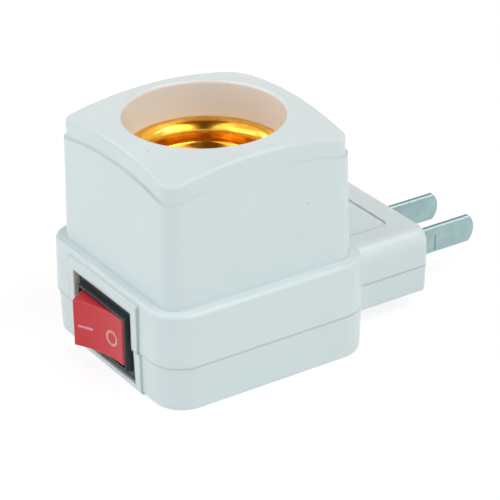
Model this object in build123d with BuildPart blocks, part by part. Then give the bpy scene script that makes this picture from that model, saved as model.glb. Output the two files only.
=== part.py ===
from build123d import *
import math
import os

os.makedirs("parts", exist_ok=True)

# Plug-in lamp holder: a screw-shell lamp socket in a square moulded tower, on a square
# base with a rocker switch in one side and a two-blade mains plug in the other.
# Frame: Z up along the lamp's axis, X towards the blades, origin under the socket on
# the face that the holder stands on.  Millimetres and degrees.

# Walls and clearances; a cut runs past the face that it opens by the last value
wall = 2.0
tower_wall = 1.8
slide_gap = 0.15
snug_gap = 0.05
part_gap = 0.3
over = 1.0

# Base, split at the parting plane into the upper shell and the bottom cover
base_length = 48.8
base_width = 48.8
base_top = 21.2
base_corner = 6.9
base_draft = 1.0
base_edge = 0.7
parting = 9.7
cover_setback = 0.4
cover_side_setback = 0.1
cover_draft = 2.0
cover_edge = 0.9
block_gap = 0.3
lip_length = 24.0
lip_height = 1.5
lip_thick = 1.0

# Tower with a domed top and a shallow step below it
tower_length = 44.0
tower_width = 43.0
tower_corner = 4.0
tower_draft = 1.2
tower_edge = 0.5
sketch_over = 5.0
rim_height = 50.1
dome_radius = 87.0
band_drop = 3.6
band_step = 0.45
rib_thick = 1.4

# Mouth and socket tube
mouth_radius = 16.33
mouth_depth = 8.2
mouth_edge = 0.5
tube_wall = 1.7
tube_relief = 0.3
tube_foot = 21.5

# Plug block
block_end = 44.65
block_width = 31.0
block_top = 18.2
block_bottom = 3.65
block_corner = 1.4
block_shoulder = 3.3
block_edge = 0.7
panel_start = 26.5
panel_end = 38.9
panel_width = 17.6
panel_depth = 0.35
panel_corner = 1.5
cross_rib_x = 37.0
cross_rib_thick = 1.5

# Blades of the plug
blade_spacing = 12.7
blade_height = 6.1
blade_thick = 1.3
blade_reach = 18.6
blade_root = 17.0
blade_tip = 1.4
blade_edge = 0.25
notch_depth = 0.8
tail_height = 4.0
tail_length = 5.0
tail_hole = 0.7
tail_hole_from_end = 1.8
groove_from_end = 8.0
groove_depth = 0.15
groove_width = 0.6
groove_height = 3.4
groove_low = 0.6

# Socket: rolled shell, carrier, centre contact
shell_lip = 42.0
shell_lip_radius = 16.1
shell_mid_radius = 12.9
thread_pitch = 3.63
thread_swing = 0.55
thread_turns = 4
sheet = 0.4
shell_bottom_hole = 8.6
thread_start = 1.2
lip_root = 0.8
lip_flare = 0.9
carrier_flange = 2.5
carrier_platform = 1.5
rivet_radius = 1.2
rivet_head_radius = 2.1
rivet_head = 0.7
shell_rivet_offset = 10.8
leaf_thick = 0.5
leaf_width = 6.0
leaf_rise = 4.0
leaf_rivet_x = -5.8
leaf_heel = 1.9
leaf_bend = 2.6
leaf_crown = 1.4
leaf_free_end = 4.6
leaf_bend_radius = 0.7
tag_thick = 0.5
tag_length = 9.0
tag_width = 4.6
tag_corner = 2.0

# Screws: two diagonal corners and the block for the cover, the other corners for the carrier
boss_offset = 16.3
boss_radius = 3.0
block_boss_x = 31.5
screw_radius = 1.3
screw_hole = 1.6
screw_pilot = 1.35
screw_head_radius = 2.5
screw_head = 1.7
screw_bite = 7.0
screw_end_room = 0.5
slot_width = 0.7
slot_length = 2.6
counterbore_radius = 2.9
screw_floor = 2.4
ear_radius = 2.9

# Switch window, pad and rocker switch
window_length = 22.2
window_height = 16.1
pad_length = 26.8
pad_proud = 0.45
pad_top_drop = 1.1
bezel_sunk = 1.05
bezel_thick = 1.7
bezel_edge = 0.2
rim_proud = 0.25
rim_land = 0.4
rim_slope = 0.3
rim_edge = 0.2
seat_thick = 1.6
body_length = 19.4
body_height = 12.8
body_depth = 12.4
body_side_wall = 1.0
body_floor = 1.2
wing_rise = 0.45
wing_length = 3.4
wing_height = 4.0
pivot_hole_depth = 0.6

# Rocker and its mechanism
pivot_sunk = 2.15
pivot_radius = 1.15
rocker_tilt = 15.9
rocker_height = 10.3
rocker_forward = 5.5
rocker_front_half = 6.85
rocker_shoulder_forward = 1.2
rocker_skirt_radius = 8.4
rocker_skirt_back = 1.4
rocker_dish = 1.05
rocker_wall = 1.3
rocker_crest = 0.5
rocker_edge = 0.25
pocket_depth = 3.8
hub_sunk = 1.0
hub_half = 2.5
hub_back = 3.4
hub_bore_depth = 1.2
plunger_collar = 0.6
plunger_radius = 0.95
plunger_reach = 6.2
nose_flat = 0.1
spring_radius = 1.25
spring_wire = 0.3
spring_turns = 4
contact_ratio = 0.54
fulcrum_gap = 0.1
moving_length = 11.2
moving_width = 4.4
moving_thick = 0.5
moving_flange = 1.2
tip_offset = 4.6
tip_radius = 1.0
tip_height = 0.6
tip_draft = 12.0
terminal_thick = 0.8
terminal_width = 4.8
terminal_tail = 7.0
terminal_corner = 0.8
terminal_hole = 0.8
terminal_hole_from_end = 1.8
head_margin = 0.3

# Inner wires
wire_radius = 1.0
bend_share = 0.45

# Places worked out from the sizes above
front = -base_length / 2
back = base_length / 2
pad_face = front - pad_proud
bezel_face = pad_face + bezel_sunk
seat_face = bezel_face + bezel_thick
seat_back = seat_face + seat_thick
body_back = seat_face + body_depth
rim_face = pad_face - rim_proud
pivot_x = bezel_face + pivot_sunk
bearing_radius = terminal_thick / 2
plate_face = bearing_radius + fulcrum_gap
fulcrum_x = pivot_x + plunger_reach + part_gap + moving_thick + plate_face
contact_tilt = rocker_tilt * contact_ratio
dome_centre = rim_height - math.sqrt(dome_radius**2 - mouth_radius**2)
tube_outer = mouth_radius + tube_wall
tube_inner = mouth_radius + tube_relief
mouth_floor = rim_height - mouth_depth
carrier_bottom = tube_foot - carrier_flange
platform_top = tube_foot + carrier_platform
ceiling = base_top - wall
block_inner_end = block_end - wall
blade_y = blade_spacing / 2
cover_screws = [(-boss_offset, boss_offset), (boss_offset, -boss_offset)]
carrier_screws_at = [(boss_offset, boss_offset), (-boss_offset, -boss_offset)]
slot_half = blade_thick / 2 + snug_gap
pivot_length = body_height - 2 * body_side_wall + 2 * pivot_hole_depth - 2 * snug_gap
slot_z = blade_height / 2 + snug_gap
rib_slot = cross_rib_thick / 2 + rib_thick


def dome(drop=0.0, inset=0.0):
    """A ball whose top is the domed surface, lowered by a drop or drawn in by an inset."""
    with Locations((0, 0, dome_centre - drop)):
        Sphere(dome_radius - inset, rotation=(0, 90, 0), mode=Mode.INTERSECT)


def rectangle_between(x_low, x_high, width, corner=0.0):
    """A rectangle from one X to another, centred on the X axis."""
    with Locations(((x_low + x_high) / 2, 0)):
        if corner > 0:
            RectangleRounded(x_high - x_low, width, corner)
        else:
            Rectangle(x_high - x_low, width)


def slab(x_low, x_high, width, z_low, z_high, y=0.0, mode=Mode.ADD):
    """A plain block between two X values and two Z values, centred at y."""
    with Locations(((x_low + x_high) / 2, y, (z_low + z_high) / 2)):
        Box(x_high - x_low, width, z_high - z_low, mode=mode)


def post(x, y, radius, z_low, z_high, mode=Mode.ADD):
    """A round post or hole between two heights."""
    with Locations((x, y, (z_low + z_high) / 2)):
        Cylinder(radius, z_high - z_low, mode=mode)


def on_mouth_rim(edge):
    """Whether an edge runs round the rim of the mouth."""
    points = [edge.position_at(share) for share in (0.1, 0.4, 0.8)]
    return all(abs(math.hypot(p.X, p.Y) - mouth_radius) < 0.01 and
               abs(p.Z - rim_height) < 0.05 for p in points)


# Tower: the body up to the step, and the narrower cap above it
with BuildPart() as tower:
    with BuildSketch(Plane.XY.offset(base_top)):
        RectangleRounded(tower_length, tower_width, tower_corner)
    extrude(amount=rim_height - base_top + sketch_over, taper=tower_draft)
    dome(drop=band_drop)

with BuildPart() as tower_cap:
    with BuildSketch(Plane.XY.offset(base_top)):
        RectangleRounded(tower_length - 2 * band_step, tower_width - 2 * band_step,
                         tower_corner - band_step)
    extrude(amount=rim_height - base_top + sketch_over, taper=tower_draft)
    dome()
    cap_rim = [edge for edge in tower_cap.edges()
               if edge.center().Z > rim_height - 2 * band_drop and
               abs(edge.tangent_at(0.5).Z) < 0.6]
    fillet(cap_rim, tower_edge)

# Space inside the tower, round the socket tube, its corner ribs and its screw bosses
with BuildPart() as tower_space:
    with BuildSketch(Plane.XY.offset(ceiling)):
        RectangleRounded(tower_length - 2 * tower_wall, tower_width - 2 * tower_wall,
                         tower_corner - tower_wall / 2)
    extrude(amount=rim_height - ceiling, taper=tower_draft)
    dome(inset=wall)
    post(0, 0, tube_outer, tube_foot, rim_height, mode=Mode.SUBTRACT)
    for angle in (45, 135):
        with Locations(Location((0, 0, (tube_foot + rim_height) / 2), (0, 0, angle))):
            Box(2 * base_length, rib_thick, rim_height - tube_foot, mode=Mode.SUBTRACT)
    post(0, 0, tube_inner, ceiling, mouth_floor)
    for x, y in cover_screws + carrier_screws_at:
        post(x, y, boss_radius, tube_foot, tube_foot + 2 * screw_bite, mode=Mode.SUBTRACT)

# Space inside the upper half of the base
with BuildPart() as base_space:
    with BuildSketch(Plane.XY.offset(parting)):
        RectangleRounded(base_length - 2 * wall, base_width - 2 * wall, base_corner - wall)
    extrude(amount=ceiling - parting)
    slab(front, seat_back, pad_length, parting, ceiling, mode=Mode.SUBTRACT)
    for x, y in cover_screws:
        side_x, side_y = math.copysign(base_length / 4, x), math.copysign(base_width / 4, y)
        with Locations((x + side_x, y, (parting + ceiling) / 2)):
            Box(base_length / 2, rib_thick, ceiling - parting, mode=Mode.SUBTRACT)
        with Locations((x, y + side_y, (parting + ceiling) / 2)):
            Box(rib_thick, base_width / 2, ceiling - parting, mode=Mode.SUBTRACT)
    for x, y in carrier_screws_at:
        post(x, y, ear_radius + part_gap, parting, ceiling)

# Space inside the upper half of the plug block, with the rib that locks the blades
with BuildPart() as block_space:
    with BuildSketch(Plane.XY.offset(parting)):
        rectangle_between(back - wall - over, block_inner_end, block_width - 2 * wall)
    extrude(amount=block_top - wall - parting)
    fillet(block_space.faces().sort_by(Axis.Z)[-1].edges().filter_by(Axis.X),
           block_shoulder - wall)
    slab(cross_rib_x - cross_rib_thick / 2, cross_rib_x + cross_rib_thick / 2, block_width,
         parting, block_top, mode=Mode.SUBTRACT)
    post(block_boss_x, 0, boss_radius, parting, block_top, mode=Mode.SUBTRACT)

# Outside of the upper half of the plug block
with BuildPart() as block_upper:
    with BuildSketch(Plane.YZ) as shoulder_profile:
        with Locations((0, (parting + block_top) / 2)):
            Rectangle(block_width, block_top - parting)
        fillet([v for v in shoulder_profile.vertices() if v.Y > (parting + block_top) / 2],
               block_shoulder)
    extrude(amount=block_end)
    end_face = block_upper.faces().sort_by(Axis.X)[-1]
    fillet([edge for edge in end_face.edges() if edge.center().Z > parting + 0.1], block_corner)

# Upper shell: tower, upper half of the base and upper half of the plug block in one moulding
with BuildPart() as upper_shell:
    with BuildSketch(Plane.XY.offset(parting)):
        RectangleRounded(base_length, base_width, base_corner)
    extrude(amount=base_top - parting, taper=base_draft)
    fillet(upper_shell.faces().sort_by(Axis.Z)[-1].edges(), base_edge)
    with BuildSketch(Plane.XY.offset(parting)):
        rectangle_between(pad_face, 0, pad_length)
    extrude(amount=base_top - pad_top_drop - parting)
    chamfer(upper_shell.edges().filter_by(Axis.Y).group_by(Axis.X)[0].sort_by(Axis.Z)[-1],
            pad_proud)
    add(block_upper.part)
    add(tower.part)
    add(tower_cap.part)
    add(tower_space.part, mode=Mode.SUBTRACT)
    add(base_space.part, mode=Mode.SUBTRACT)
    add(block_space.part, mode=Mode.SUBTRACT)
    for x, y in cover_screws:
        post(x, y, boss_radius, parting, tube_foot + screw_bite)
    # Mouth
    post(0, 0, mouth_radius, mouth_floor, rim_height + sketch_over, mode=Mode.SUBTRACT)
    fillet([edge for edge in upper_shell.edges() if on_mouth_rim(edge)], mouth_edge)
    # Pilot holes of the screws
    for x, y in cover_screws:
        post(x, y, screw_pilot, parting, parting + screw_bite + over, mode=Mode.SUBTRACT)
    for x, y in carrier_screws_at:
        post(x, y, screw_pilot, tube_foot, tube_foot + screw_bite + over, mode=Mode.SUBTRACT)
    post(block_boss_x, 0, screw_pilot, parting, block_top - wall, mode=Mode.SUBTRACT)
    # Window for the switch
    window_top = parting + window_height / 2
    slab(pad_face - over, seat_face, window_length, parting, window_top, mode=Mode.SUBTRACT)
    slab(pad_face - over, seat_back, body_length + 2 * slide_gap, parting,
         parting + body_height / 2 + slide_gap, mode=Mode.SUBTRACT)
    # Slots for the blades, and the lowered panel on top of the block
    for y in (-blade_y, blade_y):
        slab(block_inner_end - over, block_end + over, 2 * slot_half, parting, parting + slot_z,
             y=y, mode=Mode.SUBTRACT)
        slab(cross_rib_x - rib_slot, cross_rib_x + rib_slot, 2 * slot_half, parting,
             parting + slot_z - notch_depth, y=y, mode=Mode.SUBTRACT)
    with BuildSketch(Plane.XY.offset(block_top)):
        rectangle_between(panel_start, panel_end, panel_width, corner=panel_corner)
    extrude(amount=-panel_depth, mode=Mode.SUBTRACT)
upper_shell.part.label = "upper_shell"
export_step(upper_shell.part, "parts/upper_shell.step")

# Space inside the bottom cover
with BuildPart() as cover_space:
    with BuildSketch(Plane.XY.offset(wall)):
        rectangle_between(front + cover_setback + wall, back - wall, base_width - 2 * wall,
                          corner=base_corner - wall)
    extrude(amount=parting - wall)
    with BuildSketch(Plane.XY.offset(block_bottom + wall)):
        rectangle_between(back - wall - over, block_inner_end, block_width - 2 * wall - 2 * block_gap)
    extrude(amount=parting - block_bottom - wall)
    slab(front, seat_back, pad_length, 0, parting, mode=Mode.SUBTRACT)
    slab(cross_rib_x - cross_rib_thick / 2, cross_rib_x + cross_rib_thick / 2, block_width,
         block_bottom, parting, mode=Mode.SUBTRACT)
    for x, y in cover_screws:
        post(x, y, counterbore_radius + rib_thick, 0, parting, mode=Mode.SUBTRACT)
    post(block_boss_x, 0, screw_head_radius + part_gap + rib_thick, 0, parting,
         mode=Mode.SUBTRACT)

# Lower half of the pad round the switch
with BuildPart() as cover_pad:
    with BuildSketch(Plane.XY.offset(parting)):
        rectangle_between(pad_face + cover_setback, 0, pad_length)
    extrude(amount=-parting, taper=cover_draft)
    fillet(cover_pad.faces().sort_by(Axis.Z)[0].edges().sort_by(Axis.X)[0], cover_edge)

# Outside of the lower half of the plug block
with BuildPart() as block_lower:
    with BuildSketch(Plane.XY.offset(parting)):
        rectangle_between(0, block_end, block_width - 2 * cover_side_setback,
                          corner=block_corner)
    extrude(amount=block_bottom - parting, taper=cover_draft)
    fillet(block_lower.faces().sort_by(Axis.Z)[0].edges(), block_edge)

# Bottom cover: lower half of the base and of the plug block, with the locating lips
with BuildPart() as bottom_cover:
    with BuildSketch(Plane.XY.offset(parting)):
        rectangle_between(front + cover_setback, back, base_width - 2 * cover_side_setback,
                          corner=base_corner)
    extrude(amount=-parting, taper=cover_draft)
    fillet(bottom_cover.faces().sort_by(Axis.Z)[0].edges(), cover_edge)
    add(cover_pad.part)
    add(block_lower.part)
    add(cover_space.part, mode=Mode.SUBTRACT)
    for side in (-1, 1):
        lip_y = side * (base_width / 2 - wall - slide_gap - lip_thick / 2)
        slab(-lip_length / 2, lip_length / 2, lip_thick, wall, parting + lip_height, y=lip_y)
    # Screw holes sunk from below
    for x, y in cover_screws:
        post(x, y, screw_hole, 0, parting, mode=Mode.SUBTRACT)
        post(x, y, counterbore_radius, 0, parting - screw_floor, mode=Mode.SUBTRACT)
    post(block_boss_x, 0, screw_hole, 0, parting, mode=Mode.SUBTRACT)
    post(block_boss_x, 0, screw_head_radius + part_gap, 0, parting - screw_floor,
         mode=Mode.SUBTRACT)
    # Window for the switch
    window_bottom = parting - window_height / 2
    slab(pad_face - over, seat_face, window_length, window_bottom, parting, mode=Mode.SUBTRACT)
    slab(pad_face - over, seat_back, body_length + 2 * slide_gap,
         parting - body_height / 2 - slide_gap, parting, mode=Mode.SUBTRACT)
    # Slots for the blades
    for y in (-blade_y, blade_y):
        slab(block_inner_end - over, block_end + over, 2 * slot_half, parting - slot_z, parting,
             y=y, mode=Mode.SUBTRACT)
        slab(cross_rib_x - rib_slot, cross_rib_x + rib_slot, 2 * slot_half,
             parting - slot_z + notch_depth, parting, y=y, mode=Mode.SUBTRACT)
bottom_cover.part.label = "bottom_cover"
export_step(bottom_cover.part, "parts/bottom_cover.step")

# Screw shell: thin sheet with a rolled thread, a flared lip and an inward bottom flange
with BuildPart() as screw_shell:
    thread_top = platform_top + sheet + thread_start + thread_turns * thread_pitch
    with BuildSketch(Plane.XZ):
        with BuildLine():
            outlines = []
            for offset in (0.0, sheet):
                radius = shell_mid_radius + offset
                start = (radius, platform_top + sheet + thread_start)
                for half in range(2 * thread_turns):
                    low = (radius, start[1] + half * thread_pitch / 2)
                    high = (radius, low[1] + thread_pitch / 2)
                    swing = thread_swing if half % 2 == 0 else -thread_swing
                    ThreePointArc(low, (radius + swing, (low[1] + high[1]) / 2), high)
                outlines.append((start, (radius, thread_top)))
            inner, outer = outlines
            lip_inner = (shell_mid_radius + lip_root, shell_lip - lip_flare)
            lip_outer = (shell_lip_radius, shell_lip - sheet)
            Polyline(outer[1], (lip_inner[0] + sheet, lip_inner[1] - sheet), lip_outer,
                     (shell_lip_radius, shell_lip), lip_inner, inner[1])
            Polyline(outer[0], (shell_mid_radius + sheet, platform_top),
                     (shell_bottom_hole, platform_top), (shell_bottom_hole, platform_top + sheet),
                     (shell_mid_radius, platform_top + sheet), inner[0])
        make_face()
    revolve(axis=Axis.Z)
    with Locations((0, -shell_rivet_offset, platform_top), (0, shell_rivet_offset, platform_top)):
        Cylinder(rivet_radius + snug_gap, 4 * sheet, mode=Mode.SUBTRACT)
screw_shell.part.label = "screw_shell"
export_step(screw_shell.part, "parts/screw_shell.step")

# Contact carrier: insulating flange against the tube's foot, a platform and two screw ears
with BuildPart() as contact_carrier:
    post(0, 0, tube_outer, carrier_bottom, tube_foot)
    for x, y in carrier_screws_at:
        with BuildSketch(Plane.XY.offset(carrier_bottom)):
            with Locations(Location((0, 0, 0), (0, 0, math.degrees(math.atan2(y, x))))):
                with Locations((math.hypot(x, y) / 2, 0)):
                    Rectangle(math.hypot(x, y), 2 * ear_radius)
            with Locations((x, y)):
                Circle(ear_radius)
        extrude(amount=carrier_flange)
    post(0, 0, tube_inner - slide_gap, tube_foot, platform_top)
    for x, y in carrier_screws_at:
        post(x, y, screw_hole, carrier_bottom, tube_foot, mode=Mode.SUBTRACT)
    for x, y in [(0, -shell_rivet_offset), (0, shell_rivet_offset), (leaf_rivet_x, 0)]:
        post(x, y, rivet_radius + snug_gap, carrier_bottom, platform_top, mode=Mode.SUBTRACT)
contact_carrier.part.label = "contact_carrier"
export_step(contact_carrier.part, "parts/contact_carrier.step")

# Centre contact: a spring leaf riveted at one end and raised at the lamp's axis
with BuildPart() as centre_contact:
    leaf_foot = platform_top + leaf_thick / 2
    with BuildSketch(Plane.XZ):
        with BuildLine():
            FilletPolyline((leaf_rivet_x - leaf_heel, leaf_foot),
                           (leaf_rivet_x + leaf_bend, leaf_foot),
                           (-leaf_crown, leaf_foot + leaf_rise),
                           (leaf_crown, leaf_foot + leaf_rise),
                           (leaf_free_end, leaf_foot + leaf_rise / 2), radius=leaf_bend_radius)
        trace(line_width=leaf_thick)
    extrude(amount=leaf_width / 2, both=True)
    post(leaf_rivet_x, 0, rivet_radius + snug_gap, platform_top - over, leaf_foot + over,
         mode=Mode.SUBTRACT)
centre_contact.part.label = "centre_contact"
export_step(centre_contact.part, "parts/centre_contact.step")


def rivet(x, y, seat):
    """A rivet from the tag below the carrier to its head on the seat above."""
    tail = carrier_bottom - tag_thick
    post(x, y, rivet_radius, tail - rivet_head / 2, seat + rivet_head / 2)
    post(x, y, rivet_head_radius, seat, seat + rivet_head)
    post(x, y, rivet_head_radius, tail - rivet_head, tail)


with BuildPart() as centre_rivet:
    rivet(leaf_rivet_x, 0, platform_top + leaf_thick)
centre_rivet.part.label = "centre_rivet"
export_step(centre_rivet.part, "parts/centre_rivet.step")

with BuildPart() as shell_rivets:
    rivet(0, -shell_rivet_offset, platform_top + sheet)
    rivet(0, shell_rivet_offset, platform_top + sheet)
shell_rivets.part.label = "shell_rivets"
export_step(shell_rivets.part, "parts/shell_rivets.step")

# Solder tags under the carrier, one at the centre contact and one at each shell rivet
with BuildPart() as solder_tags:
    with BuildSketch(Plane.XY.offset(carrier_bottom - tag_thick)):
        for x, y in [(leaf_rivet_x, 0), (0, -shell_rivet_offset), (0, shell_rivet_offset)]:
            with Locations((x + tag_length / 2 - tag_width / 2, y)):
                RectangleRounded(tag_length, tag_width, tag_corner)
            with Locations((x, y)):
                Circle(rivet_radius + snug_gap, mode=Mode.SUBTRACT)
    extrude(amount=tag_thick)
solder_tags.part.label = "solder_tags"
export_step(solder_tags.part, "parts/solder_tags.step")


def blade(y):
    """A flat blade with a curved tip, softened edges, lock notches and a drilled tail."""
    tip_x = block_end + blade_reach
    tail_x = block_end - blade_root
    shank_x = tail_x + tail_length
    half = blade_height / 2
    side = Plane.XZ.offset(-y - blade_thick / 2)
    with BuildSketch(side) as shank:
        with BuildLine():
            Polyline((tip_x - blade_tip, parting - half), (shank_x, parting - half),
                     (shank_x, parting + half), (tip_x - blade_tip, parting + half))
            ThreePointArc((tip_x - blade_tip, parting + half), (tip_x, parting),
                          (tip_x - blade_tip, parting - half))
        make_face()
    extrude(shank.sketch, amount=blade_thick)
    chamfer([edge for face in (faces().sort_by(Axis.Y)[0], faces().sort_by(Axis.Y)[-1])
             for edge in face.edges()], blade_edge)
    with BuildSketch(side) as tail:
        with Locations((tail_x + tail_length / 2 + rib_thick / 2, parting)):
            Rectangle(tail_length + rib_thick, tail_height)
        with Locations((tail_x + tail_hole_from_end, parting)):
            Circle(tail_hole, mode=Mode.SUBTRACT)
    extrude(tail.sketch, amount=blade_thick)
    for edge_z in (parting - half, parting + half):
        with Locations((cross_rib_x, y, edge_z)):
            Box(cross_rib_thick + 2 * snug_gap, 2 * blade_thick, 2 * notch_depth,
                mode=Mode.SUBTRACT)
    for face_y in (y - blade_thick / 2, y + blade_thick / 2):
        with Locations((block_end + groove_from_end, face_y,
                        parting - half + groove_low + groove_height / 2)):
            Box(groove_width, 2 * groove_depth, groove_height, mode=Mode.SUBTRACT)


with BuildPart() as plug_blade_left:
    blade(blade_y)
plug_blade_left.part.label = "plug_blade_left"
export_step(plug_blade_left.part, "parts/plug_blade_left.step")

with BuildPart() as plug_blade_right:
    blade(-blade_y)
plug_blade_right.part.label = "plug_blade_right"
export_step(plug_blade_right.part, "parts/plug_blade_right.step")


def screw(x, y, under_head, length, head_radius=screw_head_radius):
    """A screw driven upwards, with a pan head below the given height and a cross slot."""
    post(x, y, head_radius, under_head - screw_head, under_head)
    post(x, y, screw_radius, under_head, under_head + length)
    for size_x, size_y in ((slot_width, slot_length), (slot_length, slot_width)):
        with Locations((x, y, under_head - screw_head)):
            Box(size_x, size_y, screw_head, mode=Mode.SUBTRACT)


# Three screws hold the cover, two more hold the contact carrier
with BuildPart() as cover_screw_set:
    cover_seat = parting - screw_floor
    for x, y in cover_screws + [(block_boss_x, 0)]:
        room = block_top - wall if y == 0 else tube_foot + screw_bite
        screw(x, y, cover_seat, min(parting + screw_bite, room - screw_end_room) - cover_seat)
cover_screw_set.part.label = "cover_screws"
export_step(cover_screw_set.part, "parts/cover_screws.step")

with BuildPart() as carrier_screw_set:
    for x, y in carrier_screws_at:
        screw(x, y, carrier_bottom, carrier_flange + screw_bite)
carrier_screw_set.part.label = "carrier_screws"
export_step(carrier_screw_set.part, "parts/carrier_screws.step")

# Switch body: bezel with a raised rim, hollow box, pivot holes, terminal slots and snap wings
rocker_room = rocker_skirt_radius + part_gap
room_height = body_height - 2 * body_side_wall
rim_rise = bezel_face - rim_face
with BuildPart() as switch_body:
    slab(bezel_face, seat_face, window_length - 2 * part_gap,
         parting - window_height / 2 + slide_gap, parting + window_height / 2 - slide_gap)
    chamfer(switch_body.faces().sort_by(Axis.X)[0].edges(), bezel_edge)
    with BuildSketch(Plane(origin=(bezel_face, 0, parting), x_dir=(0, 1, 0),
                           z_dir=(-1, 0, 0))):
        Rectangle(2 * (rocker_room + rim_land + rim_slope),
                  room_height + 2 * (rim_land + rim_slope))
    extrude(amount=rim_rise, taper=math.degrees(math.atan(rim_slope / rim_rise)))
    fillet(switch_body.faces().sort_by(Axis.X)[0].edges(), rim_edge)
    slab(seat_face, body_back, body_length, parting - body_height / 2,
         parting + body_height / 2)
    slab(rim_face, body_back - body_floor, 2 * rocker_room,
         parting - room_height / 2, parting + room_height / 2, mode=Mode.SUBTRACT)
    with Locations((pivot_x, 0, parting)):
        Cylinder(pivot_radius + snug_gap, room_height + 2 * pivot_hole_depth, mode=Mode.SUBTRACT)
    for y in (0, -tip_offset):
        slab(body_back - body_floor, body_back, terminal_thick + 2 * snug_gap,
             parting - terminal_width / 2 - snug_gap, parting + terminal_width / 2 + snug_gap,
             y=y, mode=Mode.SUBTRACT)
    for side in (-1, 1):
        with BuildSketch(Plane.XY.offset(parting - wing_height / 2)):
            with BuildLine():
                Polyline((seat_back + snug_gap, side * body_length / 2),
                         (seat_back + snug_gap, side * (body_length / 2 + wing_rise)),
                         (seat_back + wing_length, side * body_length / 2), close=True)
            make_face()
        extrude(amount=wing_height)
switch_body.part.label = "switch_body"
export_step(switch_body.part, "parts/switch_body.step")

# Rocker, drawn upright about its pivot and turned to the state it is stored in
tilted = Plane(origin=(pivot_x, 0, parting),
               x_dir=(math.cos(math.radians(rocker_tilt)), math.sin(math.radians(rocker_tilt)), 0),
               z_dir=(0, 0, 1))
with BuildPart() as rocker:
    skirt_angle = math.degrees(math.asin(rocker_skirt_back / rocker_skirt_radius))
    shoulder_angle = math.degrees(math.asin(rocker_shoulder_forward / rocker_skirt_radius))
    skirt_y = math.sqrt(rocker_skirt_radius**2 - rocker_skirt_back**2)
    shoulder_y = math.sqrt(rocker_skirt_radius**2 - rocker_shoulder_forward**2)
    with BuildSketch(tilted.offset(-rocker_height / 2)):
        with BuildLine():
            Line((rocker_skirt_back, -skirt_y), (rocker_skirt_back, skirt_y))
            ThreePointArc((rocker_skirt_back, skirt_y), (0, rocker_skirt_radius),
                          (-rocker_shoulder_forward, shoulder_y))
            Line((-rocker_shoulder_forward, shoulder_y), (-rocker_forward, rocker_front_half))
            ThreePointArc((-rocker_forward, rocker_front_half), (rocker_dish - rocker_forward, 0),
                          (-rocker_forward, -rocker_front_half))
            Line((-rocker_forward, -rocker_front_half), (-rocker_shoulder_forward, -shoulder_y))
            ThreePointArc((-rocker_shoulder_forward, -shoulder_y), (0, -rocker_skirt_radius),
                          (rocker_skirt_back, -skirt_y))
        make_face()
    extrude(amount=rocker_height)
    crests = [edge for edge in rocker.edges() if abs(edge.tangent_at(0.5).Z) > 0.99]
    crests = sorted(crests, key=lambda edge: tilted.to_local_coords(edge.center()).X)[:2]
    fillet(crests, rocker_crest)
    dish = sorted(rocker.faces(), key=lambda face: tilted.to_local_coords(face.center()).X)[0]
    fillet(dish.edges(), rocker_edge)
    with BuildSketch(tilted.offset(-rocker_height / 2 + rocker_wall)):
        for side in (-1, 1):
            inner_low = hub_half
            inner_high = rocker_front_half - rocker_wall
            with Locations((rocker_skirt_back - pocket_depth / 2,
                            side * (inner_low + inner_high) / 2)):
                Rectangle(pocket_depth, inner_high - inner_low)
    extrude(amount=rocker_height - 2 * rocker_wall, mode=Mode.SUBTRACT)
    with BuildSketch(tilted.offset(-hub_half)):
        with Locations(((rocker_skirt_back - hub_sunk + hub_back) / 2, 0)):
            Rectangle(hub_back - rocker_skirt_back + hub_sunk, 2 * hub_half)
    extrude(amount=2 * hub_half)
    with BuildSketch(tilted.offset(-pivot_length / 2)):
        Circle(pivot_radius)
    extrude(amount=pivot_length)
    with BuildSketch(Plane(origin=tilted.from_local_coords((hub_back, 0, 0)),
                           z_dir=-tilted.x_dir)):
        Circle(spring_radius + snug_gap)
    extrude(amount=hub_back + hub_bore_depth, mode=Mode.SUBTRACT)
rocker.part.label = "rocker"
export_step(rocker.part, "parts/rocker.step")

# Plunger: a pin in the rocker's hub with a rounded nose towards the moving contact
plunger_axis = Plane(origin=tilted.from_local_coords((0, 0, 0)), z_dir=tilted.x_dir)
spring_back = hub_back - 2 * plunger_collar
with BuildPart() as plunger:
    with BuildSketch(plunger_axis.offset(spring_back)):
        Circle(plunger_radius)
    extrude(amount=plunger_reach - spring_back)
    nose = plunger.faces().sort_by(Axis(plunger_axis.origin, plunger_axis.z_dir))[-1]
    fillet(nose.edges(), plunger_radius - nose_flat)
    with BuildSketch(plunger_axis.offset(spring_back)):
        Circle(spring_radius)
    extrude(amount=plunger_collar)
plunger.part.label = "plunger"
export_step(plunger.part, "parts/plunger.step")

# Spring behind the plunger, in the blind end of the hub's bore
with BuildPart() as plunger_spring:
    spring_foot = -hub_bore_depth + snug_gap + spring_wire
    spring_height = spring_back - spring_wire - snug_gap - spring_foot
    with BuildLine() as coil:
        Helix(pitch=spring_height / spring_turns, height=spring_height,
              radius=spring_radius - spring_wire,
              center=tilted.from_local_coords((spring_foot, 0, 0)), direction=tilted.x_dir)
    with BuildSketch(Plane(origin=coil.line @ 0, z_dir=coil.line % 0)):
        Circle(spring_wire)
    sweep()
plunger_spring.part.label = "plunger_spring"
export_step(plunger_spring.part, "parts/plunger_spring.step")

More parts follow.
